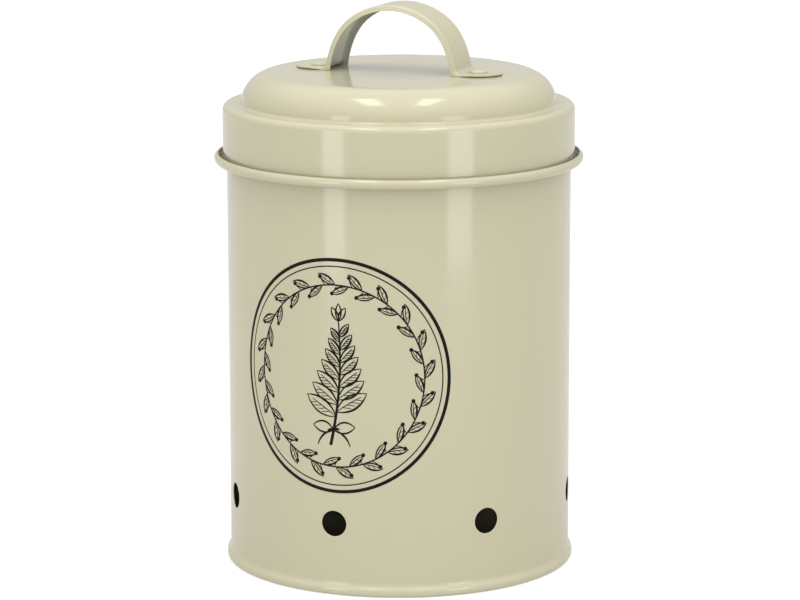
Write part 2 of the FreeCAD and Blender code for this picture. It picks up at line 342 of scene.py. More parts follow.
@dataclass
class GroupMaker:
    """Builds one node group with named inputs and outputs."""

    name: str
    inputs: dict[str, tuple[Socket, object]]
    outputs: dict[str, Socket]
    kind: str = "ShaderNodeTree"

    def __post_init__(self) -> None:
        """Make the empty group with its inputs and outputs."""
        self.tree = bpy.data.node_groups.new(self.name, self.kind)
        for name, (socket, preset) in self.inputs.items():
            made = self.tree.interface.new_socket(name, in_out="INPUT", socket_type=socket.value)
            if preset is not None:
                made.default_value = preset
        for name, socket in self.outputs.items():
            self.tree.interface.new_socket(name, in_out="OUTPUT", socket_type=socket.value)
        self.source = self.tree.nodes.new("NodeGroupInput").outputs
        self.way_out = self.tree.nodes.new("NodeGroupOutput")

    def node(self, kind: str, links: dict[str | int, object] | None = None,
             **facts: object) -> bpy.types.Node:
        """Add a node.

        Args:
            kind: The node's type name.
            links: What goes into its inputs: an output socket to link, or a plain value.
            **facts: Properties of the node.

        Returns:
            The new node.
        """
        return add_node(self.tree, kind, links, **facts)

    def math(self, operation: str, *values: object) -> bpy.types.NodeSocket:
        """Add a math node.

        Args:
            operation: What it works out.
            *values: What it works on: output sockets or plain values.

        Returns:
            The result's socket.
        """
        return self.node("ShaderNodeMath", dict(enumerate(values)), operation=operation).outputs[0]

    def finish(self, name: str, source: bpy.types.NodeSocket) -> None:
        """Link a socket to a named output.

        Args:
            name: Name of the output.
            source: Socket that feeds it.
        """
        self.tree.links.new(source, self.way_out.inputs[name])


def add_node(tree: bpy.types.NodeTree, kind: str, links: dict[str | int, object] | None = None,
             **facts: object) -> bpy.types.Node:
    """Add a node to a tree.

    Args:
        tree: The tree.
        kind: The node's type name.
        links: What goes into its inputs: an output socket to link, or a plain value.
        **facts: Properties of the node.

    Returns:
        The new node.
    """
    made = tree.nodes.new(kind)
    for fact, value in facts.items():
        setattr(made, fact, value)
    for key, value in (links or {}).items():
        if isinstance(value, bpy.types.NodeSocket):
            tree.links.new(value, made.inputs[key])
        else:
            made.inputs[key].default_value = value
    return made


class SharedEffects:
    """Node groups that several materials use. Each one gives out a colour, a value or a normal."""

    def __init__(self) -> None:
        """Build the groups."""
        self.tone = self._tone()
        self.mottle = self._mottle()
        self.relief = self._relief()
        self.speckle = self._speckle()

    @staticmethod
    def _tone() -> bpy.types.NodeTree:
        """Return the group that shifts a colour slightly from place to place and towards another colour where
        a mask is set: the enamel's painted edge highlight and the hollow side's painted reflection with
        shade, or the print's specks.

        Returns:
            The node group.
        """
        group = GroupMaker(
            "enamel_tone",
            {"Position": (Socket.VECTOR, None), "Colour": (Socket.COLOUR, None),
             "Second Colour": (Socket.COLOUR, None), "Edge Colour": (Socket.COLOUR, None),
             "Edge": (Socket.VALUE, 0.0), "Scale": (Socket.VALUE, 30.0), "Amount": (Socket.VALUE, 0.3)},
            {"Colour": Socket.COLOUR})
        source = group.source
        cloud = group.node("ShaderNodeTexNoise", {"Vector": source["Position"], "Scale": source["Scale"],
                                                  "Detail": 3.0, "Roughness": 0.55})
        share = group.math("MULTIPLY", cloud.outputs["Fac"], source["Amount"])
        base = group.node("ShaderNodeMix", {0: share, MIX_FIRST: source["Colour"],
                                            MIX_SECOND: source["Second Colour"]}, data_type="RGBA")
        rim = group.node("ShaderNodeMix", {0: source["Edge"], MIX_FIRST: base.outputs[MIX_RESULT],
                                           MIX_SECOND: source["Edge Colour"]}, data_type="RGBA")
        group.finish("Colour", rim.outputs[MIX_RESULT])
        return group.tree

    @staticmethod
    def _mottle() -> bpy.types.NodeTree:
        """Return the group that varies a value a little from place to place.

        Returns:
            The node group.
        """
        group = GroupMaker(
            "gloss_mottle",
            {"Position": (Socket.VECTOR, None), "Value": (Socket.VALUE, 0.15),
             "Spread": (Socket.VALUE, 0.05), "Scale": (Socket.VALUE, 60.0)},
            {"Value": Socket.VALUE})
        source = group.source
        cloud = group.node("ShaderNodeTexNoise", {"Vector": source["Position"], "Scale": source["Scale"],
                                                  "Detail": 4.0, "Roughness": 0.6})
        centred = group.math("SUBTRACT", cloud.outputs["Fac"], 0.5)
        group.finish("Value", group.math("MULTIPLY_ADD", centred, source["Spread"], source["Value"]))
        return group.tree

    @staticmethod
    def _relief() -> bpy.types.NodeTree:
        """Return the group that gives a normal for a fired surface's slow waves and fine orange peel.

        Returns:
            The node group.
        """
        group = GroupMaker(
            "fired_relief",
            {"Position": (Socket.VECTOR, None),
             "Wave Scale": (Socket.VALUE, 40.0), "Wave Depth": (Socket.VALUE, 0.00003),
             "Peel Scale": (Socket.VALUE, 500.0), "Peel Depth": (Socket.VALUE, 0.000002)},
            {"Normal": Socket.VECTOR})
        source = group.source
        wave = group.node("ShaderNodeTexNoise", {"Vector": source["Position"], "Detail": 1.0,
                                                 "Scale": source["Wave Scale"]})
        peel = group.node("ShaderNodeTexNoise", {"Vector": source["Position"], "Detail": 2.0,
                                                 "Scale": source["Peel Scale"]})
        slow = group.node("ShaderNodeBump", {"Height": wave.outputs["Fac"], "Strength": 1.0,
                                             "Distance": source["Wave Depth"]})
        fine = group.node("ShaderNodeBump", {"Height": peel.outputs["Fac"], "Strength": 1.0,
                                             "Distance": source["Peel Depth"],
                                             "Normal": slow.outputs["Normal"]})
        group.finish("Normal", fine.outputs["Normal"])
        return group.tree

    @staticmethod
    def _speckle() -> bpy.types.NodeTree:
        """Return the group that gives a mask of small scattered specks.

        Returns:
            The node group.
        """
        group = GroupMaker(
            "fine_speckle",
            {"Position": (Socket.VECTOR, None), "Scale": (Socket.VALUE, 400.0),
             "Amount": (Socket.VALUE, 0.1)},
            {"Mask": Socket.VALUE})
        source = group.source
        cells = group.node("ShaderNodeTexVoronoi", {"Vector": source["Position"], "Scale": source["Scale"]})
        mask = group.node("ShaderNodeMapRange", {"Value": cells.outputs["Distance"], "From Min": 0.16,
                                                 "From Max": 0.06, "To Min": 0.0, "To Max": 1.0})
        group.finish("Mask", group.math("MULTIPLY", mask.outputs[0], source["Amount"]))
        return group.tree


# Finishes


def empty_material(name: str) -> tuple[bpy.types.Material, bpy.types.NodeTree, bpy.types.NodeSocket]:
    """Make a material with an empty tree.

    Args:
        name: Name of the material.

    Returns:
        The material, its tree and the socket that gives the place on the object.
    """
    made = bpy.data.materials.new(name)
    made.use_nodes = True
    tree = made.node_tree
    tree.nodes.clear()
    return made, tree, add_node(tree, "ShaderNodeTexCoord").outputs["Object"]


@dataclass(frozen=True)
class EnamelFinish:
    """Glossy cream enamel on sheet steel."""

    name: str = "cream_enamel"
    colour: tuple[float, float, float, float] = (0.478, 0.450, 0.305, 1.0)
    second: tuple[float, float, float, float] = (0.462, 0.436, 0.295, 1.0)
    # Lighter colour on the sheet's edges: a painted highlight.
    edge: tuple[float, float, float, float] = (0.520, 0.490, 0.345, 1.0)
    # Grey-blue on the strap's hollow side: a painted reflection with shade of the channel's inside.
    hollow_side_shade_colour: tuple[float, float, float, float] = (0.400, 0.415, 0.390, 1.0)
    roughness: float = 0.13
    roughness_spread: float = 0.05
    coat: float = 0.2

    def material(self, effects: SharedEffects) -> bpy.types.Material:
        """Build the material.

        Args:
            effects: The shared node groups.

        Returns:
            The new material.
        """
        made, tree, place = empty_material(self.name)
        # The edge mask paints a highlight along the sheet's edges, and the hollow mask paints the strap's
        # hollow side grey-blue as a painted reflection with shade.
        edge, hollow = (add_node(tree, "ShaderNodeAttribute", attribute_name=mask).outputs["Fac"]
                        for mask in (EDGE_HIGHLIGHT_MASK, HOLLOW_SHADE_MASK))
        tone = add_node(tree, "ShaderNodeGroup", {
            "Position": place, "Edge": edge, "Colour": self.colour, "Second Colour": self.second,
            "Edge Colour": self.edge}, node_tree=effects.tone)
        hollow_side_shaded = add_node(tree, "ShaderNodeGroup", {
            "Position": place, "Edge": hollow, "Colour": tone.outputs["Colour"],
            "Second Colour": tone.outputs["Colour"], "Edge Colour": self.hollow_side_shade_colour},
            node_tree=effects.tone)
        gloss = add_node(tree, "ShaderNodeGroup", {
            "Position": place, "Value": self.roughness, "Spread": self.roughness_spread},
            node_tree=effects.mottle)
        relief = add_node(tree, "ShaderNodeGroup", {"Position": place}, node_tree=effects.relief)
        shader = add_node(tree, "ShaderNodeBsdfPrincipled", {
            "Base Color": hollow_side_shaded.outputs["Colour"], "Roughness": gloss.outputs["Value"],
            "Normal": relief.outputs["Normal"], "IOR": 1.5, "Coat Weight": self.coat,
            "Coat Roughness": 0.06, "Coat Normal": relief.outputs["Normal"]})
        add_node(tree, "ShaderNodeOutputMaterial", {"Surface": shader.outputs[0]})
        return made


@dataclass(frozen=True)
class PrintFinish:
    """Black screen-printed ink, slightly uneven."""

    name: str = "black_print"
    colour: tuple[float, float, float, float] = (0.003, 0.003, 0.0028, 1.0)
    second: tuple[float, float, float, float] = (0.007, 0.007, 0.006, 1.0)
    speck: tuple[float, float, float, float] = (0.03, 0.027, 0.02, 1.0)
    roughness: float = 0.34
    specular: float = 0.1
    speck_scale: float = 900.0
    grain_scale: float = 300.0

    def material(self, effects: SharedEffects) -> bpy.types.Material:
        """Build the material.

        Args:
            effects: The shared node groups.

        Returns:
            The new material.
        """
        made, tree, place = empty_material(self.name)
        specks = add_node(tree, "ShaderNodeGroup", {
            "Position": place, "Scale": self.speck_scale, "Amount": 0.5}, node_tree=effects.speckle)
        tone = add_node(tree, "ShaderNodeGroup", {
            "Position": place, "Edge": specks.outputs["Mask"], "Colour": self.colour,
            "Second Colour": self.second, "Edge Colour": self.speck, "Scale": self.grain_scale,
            "Amount": 0.9}, node_tree=effects.tone)
        gloss = add_node(tree, "ShaderNodeGroup", {
            "Position": place, "Value": self.roughness, "Scale": self.grain_scale},
            node_tree=effects.mottle)
        shader = add_node(tree, "ShaderNodeBsdfPrincipled", {
            "Base Color": tone.outputs["Colour"], "Roughness": gloss.outputs["Value"],
            "Specular IOR Level": self.specular})
        add_node(tree, "ShaderNodeOutputMaterial", {"Surface": shader.outputs[0]})
        return made


# Drum


@dataclass
class Piece:
    """One real piece: its mesh, its finish and the body that it rides on."""

    node: str
    body: Body
    slot: Slot = Slot.ENAMEL

    def dress(self, made: bpy.types.Object, material: bpy.types.Material,
              stands_for: bool = True) -> bpy.types.Object:
        """Give the object its material and tie it to the frame.

        Args:
            made: The object.
            material: Its material.
            stands_for: True if it takes the place of the frame's node.

        Returns:
            The object.
        """
        made.data.materials.clear()
        made.data.materials.append(material)
        if stands_for:
            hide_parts(self.node)
        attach(made, self.body.value)
        LOG.info("%s: %d vertices", made.name, len(made.data.vertices))
        return made


@dataclass
class SideWall(Piece):
    """The drum's wall: rolled rim, hook of the foot seam, side lap and a ring of punched vents."""

    node: str = "side_wall"
    body: Body = Body.DRUM
    radius: float = 63.0
    height: float = 168.7
    sheet: float = 0.4
    curl_radius: float = 1.5
    curl_turn: float = 240.0
    vents: int = 7
    vent_radius: float = 4.7
    vent_height: float = 25.9
    vent_edge: float = 0.12
    columns_per_vent: int = 40
    patch: int = 12
    lap_width: float = 5.0
    lap_foot: float = 5.2
    lap_head: float = 166.6
    lap_slope: float = 0.18
    hook_radius: float = 0.35
    hook_floor: float = 1.02
    hook_end: float = 2.0
    levels: tuple[float, ...] = (45.0, 60.0, 80.0, 100.0, 120.0, 140.0, 155.0)
    vent_rings: tuple[float, ...] = (0.62, 0.32, 0.12, 0.03, 0.0)

    def build(self) -> bpy.types.Object:
        """Build the wall's mesh.

        Returns:
            The wall's object.
        """
        columns = self.vents * self.columns_per_vent
        pitch = 2 * math.pi * self.radius / columns
        line = self._line(pitch)
        section = line.section()
        angles = even_angles(columns)
        back = columns // 2
        self._gather_lap_columns(angles, back)
        shape = Shape()
        sides = self._vent_rows(section, pitch)
        reach = self.patch // 2

        def left_out(row: int, column: int) -> bool:
            """Tell whether a face lies in the square round a vent."""
            offset = (column + reach) % self.columns_per_vent
            return offset < self.patch and any(row in rows[:-1] for rows in sides)

        def raised(row: int, column: int) -> float:
            """Raise the wall's outside by one sheet along the side lap.

            Args:
                row: Row of the section.
                column: Column of the wall.

            Returns:
                What is added to the distance from the axis.
            """
            out, height, _ = section[row]
            low, high = self.lap_foot + self.lap_slope, self.lap_head - self.lap_slope
            on_lap = low - NEAR <= height <= high + NEAR
            outside = abs(out - self.radius) < NEAR
            return self.sheet if outside and on_lap and abs(column - back) <= 1 else 0.0

        rows = spin(shape, section, angles, left_out, raised)
        for vent in range(self.vents):
            self._vent(shape, rows, sides, angles, vent * self.columns_per_vent, pitch)
        return shape.build(self.node)

    def _line(self, pitch: float) -> SheetLine:
        """Return the wall's middle line, from the end of the hook to the end of the rolled rim.

        Args:
            pitch: Distance between two columns along the wall, in mm.

        Returns:
            The line.
        """
        middle = self.radius - self.sheet / 2
        curl_x, curl_z = self.radius - self.curl_radius, self.height - self.curl_radius
        half = self.patch // 2
        levels = [self.vent_height + pitch * step for step in range(-half, half + 1)]
        levels += [end + way * self.lap_slope for end, way in (
            (self.lap_foot, 0), (self.lap_foot, 1), (self.lap_head, -1), (self.lap_head, 0))]
        levels += self.levels
        line = SheetLine(middle + 2 * self.hook_radius, self.hook_end, self.sheet)
        line.run(middle + 2 * self.hook_radius, self.hook_floor)
        line.bend(middle + self.hook_radius, self.hook_floor, -180.0, 10)
        line.run(middle, curl_z, stops=[level - self.hook_floor for level in levels])
        line.bend(curl_x, curl_z, self.curl_turn, 22)
        return line

    def _gather_lap_columns(self, angles: list[float], back: int) -> None:
        """Move the columns beside the lap onto its two long edges.

        Args:
            angles: Angle of each column, changed in place.
            back: Number of the column at the middle of the lap.
        """
        half = self.lap_width / 2
        for step, offset in ((1, half - self.lap_slope / 2), (2, half + self.lap_slope / 2)):
            for side in (-1, 1):
                angles[back + side * step] = angles[back] + side * offset / self.radius

    def _vent_rows(self, section: Sequence[tuple[float, float, float]], pitch: float) -> list[list[int]]:
        """Return the section's row numbers beside a vent, on the outside and on the inside.

        Args:
            section: The wall's section.
            pitch: Distance between two columns along the wall, in mm.

        Returns:
            Two lists of row numbers.
        """
        sides = []
        for reach in (self.radius, self.radius - self.sheet):
            span = pitch * self.patch / 2 + NEAR
            sides.append([row for row, (out, height, _) in enumerate(section)
                          if abs(out - reach) < NEAR and abs(height - self.vent_height) <= span])
        return sides

    def _vent(self, shape: Shape, rows: list[list[int]], sides: list[list[int]],
              angles: Sequence[float], column: int, pitch: float) -> None:
        """Fill the square round one vent and carry the vent's edge through the sheet.

        Args:
            shape: Shape that takes the vertices and faces.
            rows: The wall's vertex numbers, by row and column.
            sides: Row numbers beside the vent, outside and inside.
            angles: Angle of each column.
            column: Number of the column through the vent's middle.
            pitch: Distance between two columns along the wall, in mm.
        """
        count = len(angles)
        half = self.patch // 2
        middle = angles[column % count]
        inner_radius = self.radius - self.sheet
        rims: list[list[int]] = []
        for side, reach in zip(sides, (self.radius, inner_radius)):
            upward = sorted(side, key=lambda row: shape.places[rows[row][0]][2])
            border: list[tuple[int, int]] = []
            border += [(step, -half) for step in range(-half, half)]
            border += [(half, step) for step in range(-half, half)]
            border += [(step, half) for step in range(half, -half, -1)]
            border += [(-half, step) for step in range(half, -half, -1)]
            numbers = [rows[upward[level + half]][(column + across) % count] for across, level in border]
            previous = numbers
            # The vent's rim and its walls through the sheet carry the edge mask, where the enamel paints a
            # highlight.
            for share in self.vent_rings:
                ring = []
                for step, (across, level) in enumerate(border):
                    turn = -3 * math.pi / 4 + 2 * math.pi * step / len(border)
                    edge = self.vent_radius + self.vent_edge
                    round_u = reach * math.asin(edge * math.cos(turn) / reach)
                    u = share * across * pitch * reach / self.radius + (1 - share) * round_u
                    v = share * level * pitch + (1 - share) * edge * math.sin(turn)
                    angle = middle + u / reach
                    ring.append(shape.add(reach * math.cos(angle), reach * math.sin(angle),
                                          self.vent_height + v, 1.0 if share == 0.0 else 0.0))
                shape.band(previous, ring)
                previous = ring
            rims.append(previous)
        edge = self.vent_edge
        steps = [(0.29 * edge, self.radius - 0.29 * edge), (0.0, self.radius - edge),
                 (0.0, inner_radius + edge), (0.29 * edge, inner_radius + 0.29 * edge)]
        previous = rims[0]
        for wider, reach in steps:
            ring = []
            for step in range(4 * self.patch):
                turn = -3 * math.pi / 4 + 2 * math.pi * step / (4 * self.patch)
                across = (self.vent_radius + wider) * math.cos(turn)
                angle = middle + math.asin(across / reach)
                ring.append(shape.add(reach * math.cos(angle), reach * math.sin(angle),
                                      self.vent_height + (self.vent_radius + wider) * math.sin(turn), 1.0))
            shape.band(previous, ring)
            previous = ring
        shape.band(previous, rims[1])


@dataclass
class BaseDisc(Piece):
    """The base: recessed panel, short wall and the fold round the wall's hook, bridged by the enamel."""

    node: str = "base_disc"
    body: Body = Body.DRUM
    sheet: float = 0.4
    panel_height: float = 4.4
    corner: float = 1.0
    inner_wall: float = 62.37
    foot_round: float = 0.6
    outer_wall: float = 64.09
    widest: float = 1.5
    swell_radius: float = 2.0
    cove_radius: float = 2.4
    swell_turn: float = 44.7
    columns: int = 280

    def build(self) -> bpy.types.Object:
        """Build the base's mesh.

        Returns:
            The base's object.
        """
        line = SheetLine(0.0, self.panel_height, self.sheet)
        line.run(self.inner_wall - self.corner, self.panel_height, stops=(20.0, 40.0, 54.0))
        line.bend(self.inner_wall - self.corner, self.panel_height - self.corner, -90.0, 10)
        floor = self.sheet / 2 + self.foot_round
        line.run(self.inner_wall, floor)
        line.bend(self.inner_wall + self.foot_round, floor, 90.0, 8)
        line.run(self.outer_wall - self.foot_round, self.sheet / 2, hold=0.1)
        line.bend(self.outer_wall - self.foot_round, floor, 90.0, 8)
        line.run(self.outer_wall, self.widest)
        line.bend(self.outer_wall - self.swell_radius, self.widest, self.swell_turn, 10)
        turn = math.radians(self.swell_turn)
        reach = self.swell_radius + self.cove_radius
        line.bend(self.outer_wall - self.swell_radius + reach * math.cos(turn),
                  self.widest + reach * math.sin(turn), -self.swell_turn, 10)
        shape = Shape()
        spin(shape, line.section(), even_angles(self.columns))
        return shape.build(self.node)


# Lid


@dataclass
class LidShell(Piece):
    """The lid: flat top, rounded dome side, ledge, skirt and an open hem rolled outwards."""

    node: str = "lid_shell"
    body: Body = Body.LID
    sheet: float = 0.4
    top: float = 180.75
    dome_x: float = 46.0
    dome_radius: float = 11.7
    cove_x: float = 58.8
    cove_radius: float = 1.2
    ledge_top: float = 169.4
    skirt_outside: float = 64.4
    corner_radius: float = 2.3
    hem_radius: float = 1.8
    hem_turn: float = 255.0
    skirt_depth: float = 21.7
    columns: int = 288

    def build(self) -> bpy.types.Object:
        """Build the lid's mesh.

        Returns:
            The lid's object.
        """
        half = self.sheet / 2
        dome_z = self.top - self.dome_radius
        cove_z = self.ledge_top + self.cove_radius
        lean = math.degrees(math.asin((cove_z - dome_z) / (self.dome_radius + self.cove_radius)))
        line = SheetLine(0.0, self.top - half, self.sheet)
        line.run(self.dome_x, self.top - half, stops=(10.0, 20.0, 30.0, 38.0, 43.0))
        line.bend(self.dome_x, dome_z, lean - 90.0, 26)
        line.bend(self.cove_x, cove_z, 90.0 - lean, 12)
        corner_x = self.skirt_outside - self.corner_radius
        corner_z = self.ledge_top - self.corner_radius
        line.run(corner_x, self.ledge_top - half)
        line.bend(corner_x, corner_z, -90.0, 14)
        hem_x = self.skirt_outside - self.sheet + self.hem_radius
        hem_z = self.ledge_top - self.skirt_depth + self.hem_radius
        line.run(self.skirt_outside - half, hem_z, stops=(6.0, 12.0))
        line.bend(hem_x, hem_z, self.hem_turn, 30)
        shape = Shape()
        spin(shape, line.section(), even_angles(self.columns))
        return shape.build(self.node)


@dataclass
class HandleStrap(Piece):
    """The handle: one arched channel strap whose ends are bent out into two round tabs."""

    node: str = "handle_strap"
    body: Body = Body.LID
    half_width: float = 9.0
    sheet: float = 0.8
    arch_z: float = 179.0
    arch_radius: float = 26.59
    pinch: float = 0.9
    fold_radius: float = 2.2
    tab_top: float = 181.6
    rivet_x: float = 30.9042
    flange_depth: float = 2.1
    edge_round: float = 1.3
    tab_lift: float = 0.24
    flange_end: float = 0.95
    pinch_from: float = 14.0
    pinch_to: float = 52.0
    end_steps: int = 24
    fold_steps: int = 12
    arch_steps: int = 84

    def build(self) -> bpy.types.Object:
        """Build the strap's mesh as one section that is carried along it.

        Returns:
            The strap's object.
        """
        shape = Shape()
        channel = self._section(self.edge_round, self.flange_depth, 0.22, 0.22, 0.6)
        flat = self._section(0.35, self.sheet, 0.25, 0.0, 0.0)
        rows = [[self._place(shape, column, *points) for points in zip(channel, flat)]
                for column in self._columns()]
        for first, second in zip(rows, rows[1:]):
            shape.band(first, second)
        return shape.build(self.node, merge=2e-6)

    def _section(self, round_: float, full: float, lip: float, inner_lip: float,
                 inner: float) -> list[tuple[float, float, float, float]]:
        """Return a section of the strap, all round.

        Args:
            round_: Radius of the outer long edges.
            full: Depth of the turned-in edges.
            lip: Radius of the outer side of their free edge.
            inner_lip: Radius of its inner side.
            inner: Radius of the hollow corner.

        Returns:
            Points (distance across, depth under the outside, thin edge mask, hollow side mask).
        """
        wide, sheet = self.half_width, self.sheet
        bore = wide - sheet
        half = [(across, 0.0, 0.0, 0.0) for across in (0.0, 3.0, 6.0, wide - round_ - 0.15)]
        half += self._corner(wide - round_, round_, round_, -90.0, 90.0, 8, 0.2, 0.0)
        half += [(wide, round_ + (full - lip - round_) * share, 0.0, 0.0) for share in (0.33, 0.8)]
        # The flanges' free edges carry the edge mask, a painted highlight; the hollow side carries the hollow
        # mask, a painted grey-blue reflection with shade.
        half += self._corner(wide - lip, full - lip, lip, 0.0, 90.0, 3, 1.0, 0.0)
        half += self._corner(bore + inner_lip, full - inner_lip, inner_lip, 90.0, 90.0, 3, 1.0, 0.4)
        half += [(bore, sheet + inner + (full - inner_lip - sheet - inner) * 0.6, 0.0, 1.0)]
        half += self._corner(bore - inner, sheet + inner, inner, 0.0, -90.0, 5, 0.0, 1.0)
        half += [(across, sheet, 0.0, 1.0) for across in (6.0, 3.0, 0.0)]
        return half + [(-point[0], *point[1:]) for point in half[-2:0:-1]]

    @staticmethod
    def _corner(across: float, depth: float, radius: float, begin: float, turn: float, steps: int,
                thin: float, hollow: float) -> list[tuple[float, float, float, float]]:
        """Return a section's points round one corner.

        Args:
            across: Distance of the corner's centre from the strap's middle line.
            depth: Depth of the corner's centre under the outside.
            radius: Radius of the corner.
            begin: Angle of the first point in degrees.
            turn: Angle that the corner covers in degrees.
            steps: Number of short pieces.
            thin: Thin edge mask of the points.
            hollow: Hollow side mask of the points.

        Returns:
            Points as in the section.
        """
        angles = [math.radians(begin + turn * step / steps) for step in range(steps + 1)]
        return [(across + radius * math.cos(angle), depth + radius * math.sin(angle), thin, hollow)
                for angle in angles]

    def _columns(self) -> list[tuple[str, float, float]]:
        """Return the places along the strap, from the -X tab to the +X tab.

        Returns:
            The kind of place, its side of the axis, and how far along that kind it is.
        """
        right = [("end", 1.0, math.pi / 2 * step / self.end_steps) for step in range(self.end_steps, 0, -1)]
        right += [("tab", 1.0, share) for share in (1.0, 0.66, 0.33, 0.08)]
        right += [("fold", 1.0, step / self.fold_steps) for step in range(self.fold_steps, 0, -1)]
        lift = self._fold_lift()
        arch = [("arch", 1.0, lift + (math.pi - 2 * lift) * step / self.arch_steps)
                for step in range(self.arch_steps, -1, -1)]
        left = [(kind, -1.0, measure) for kind, _, measure in right]
        return left + arch + right[::-1]

    def _fold_lift(self) -> float:
        """Return the angle above the arch's middle at which the arch runs into the fold."""
        reach = self.arch_radius - self.pinch + self.fold_radius
        return math.asin((self.tab_top + self.fold_radius - self.arch_z) / reach)

    def _arch_reach(self, angle: float) -> float:
        """Return the arch's outer radius, a little less where the two legs come down.

        Args:
            angle: Angle above the +X way, seen from the arch's middle.

        Returns:
            The radius in mm.
        """
        above = min(angle, math.pi - angle)
        share = (self.pinch_to - math.degrees(above)) / (self.pinch_to - self.pinch_from)
        share = min(1.0, max(0.0, share))
        return self.arch_radius - self.pinch * share * share * (3 - 2 * share)

    def _place(self, shape: Shape, column: tuple[str, float, float],
               channel: tuple[float, float, float, float], flat: tuple[float, float, float, float]) -> int:
        """Add the vertex of one section point at one place along the strap.

        Args:
            shape: Shape that takes the vertex.
            column: Place along the strap.
            channel: The section's point where the edges are turned in.
            flat: The same point where the strap is flat.

        Returns:
            The vertex's number.
        """
        kind, side, measure = column
        sheet = self.sheet
        if kind == "arch":
            across, depth, thin, hollow = channel
            reach = self._arch_reach(measure) - depth
            return shape.add(reach * math.cos(measure), across, self.arch_z + reach * math.sin(measure),
                             thin, hollow)
        share = measure * measure * (3 - 2 * measure) if kind == "fold" else 1.0
        across, thin, hollow = (channel[item] + (flat[item] - channel[item]) * share for item in (0, 2, 3))
        within = min(channel[1], sheet) + (min(flat[1], sheet) - min(channel[1], sheet)) * share
        lift = self._fold_lift()
        fold_z = self.tab_top + self.fold_radius
        fold_x = (self.arch_radius - self.pinch + self.fold_radius) * math.cos(lift)
        if kind == "fold":
            begin = math.pi + lift
            angle = begin + (1.5 * math.pi - begin) * measure
            reach = self.fold_radius + within
            x, z = fold_x + reach * math.cos(angle), fold_z + reach * math.sin(angle)
            foot_x, foot_z = self._flange_foot(measure, lift, fold_x)
            drop = max(0.0, channel[1] - sheet) / (self.flange_depth - sheet)
            drop *= 1.0 if measure < self.flange_end else 1 - share
            return shape.add(side * (x + (foot_x - x) * drop), across, z + (foot_z - z) * drop, thin, hollow)
        if kind == "tab":
            x, y = fold_x + (self.rivet_x - fold_x) * measure, across
        else:
            x, y = self.rivet_x + abs(across) * math.sin(measure), across * math.cos(measure)
        out = (max(0.0, x - self.rivet_x) ** 2 + y * y) / self.half_width ** 2
        z = self.tab_top - within + self.tab_lift * out * out * (measure if kind == "tab" else 1.0)
        return shape.add(side * x, y, z, thin, 0.0)

    def _flange_foot(self, measure: float, lift: float, fold_x: float) -> Point:
        """Return where the flange's free edge is beside a place on the fold.

        Args:
            measure: Share of the fold, from 0 at the arch to 1 at the tab.
            lift: Angle at which the arch runs into the fold.
            fold_x: Distance of the fold's centre from the axis.

        Returns:
            Distance from the axis and height.
        """
        bore = self.arch_radius - self.pinch - self.flange_depth
        floor = self.tab_top - self.sheet
        turn_in = 0.45
        lowest = math.asin((floor - self.arch_z) / bore)
        if measure <= turn_in:
            angle = lift + (lowest - lift) * measure / turn_in
            return bore * math.cos(angle), self.arch_z + bore * math.sin(angle)
        corner = bore * math.cos(lowest)
        return corner + (fold_x - corner) * (measure - turn_in) / (1 - turn_in), floor


@dataclass
class Rivet(Piece):
    """One rivet: low round head on the tab, shank through tab and lid, formed tail below."""

    side: float = 1.0
    body: Body = Body.LID
    tab_top: float = 181.6
    offset: float = 30.9042
    grip: float = 1.25
    head_radius: float = 3.5
    head_height: float = 1.1
    shank_radius: float = 1.8
    tail_radius: float = 2.8
    tail_height: float = 1.0
    columns: int = 64

    def build(self) -> bpy.types.Object:
        """Build the rivet's mesh.

        Returns:
            The rivet's object.
        """
        outline = self._cap(self.head_radius, self.head_height, self.tab_top, 1.0)
        grip_end = self.tab_top - self.grip
        outline += [(self.shank_radius, self.tab_top, 0.0), (self.shank_radius, grip_end, 0.0)]
        outline += self._cap(self.tail_radius, self.tail_height, grip_end, -1.0)[::-1]
        shape = Shape()
        rows: list[list[int]] = []
        centre = self.side * self.offset
        for reach, height, thin in outline:
            rows.append([shape.add(centre + reach * math.cos(angle), reach * math.sin(angle), height, thin)
                         for angle in even_angles(self.columns)])
        for first, second in zip(rows, rows[1:]):
            shape.band(first, second)
        return shape.build(self.node)

    @staticmethod
    def _cap(radius: float, height: float, floor: float, way: float) -> list[tuple[float, float, float]]:
        """Return a low round cap's outline, from the middle to a small rounded rim.

        Args:
            radius: Radius of the cap.
            height: Height of its middle.
            floor: Height of the face that it sits on.
            way: 1 for a cap that looks up, -1 for one that looks down.

        Returns:
            Points (distance from the middle, height, thin edge mask).
        """
        points = []
        for step in range(9):
            share = math.sin(math.pi / 2 * step / 8)
            reach = (radius - 0.12) * share
            rise = 0.3 + (height - 0.3) * math.sqrt(max(0.0, 1 - share ** 2.6))
            points.append((reach, floor + way * rise, 0.0))
        # The rim's points carry part of the edge mask, a painted highlight round the head and tail.
        points += [(radius - 0.03, floor + way * 0.2, 0.2), (radius, floor + way * 0.1, 0.4),
                   (radius - 0.05, floor + way * 0.01, 0.4), (radius - 0.2, floor, 0.0)]
        return points


# Print


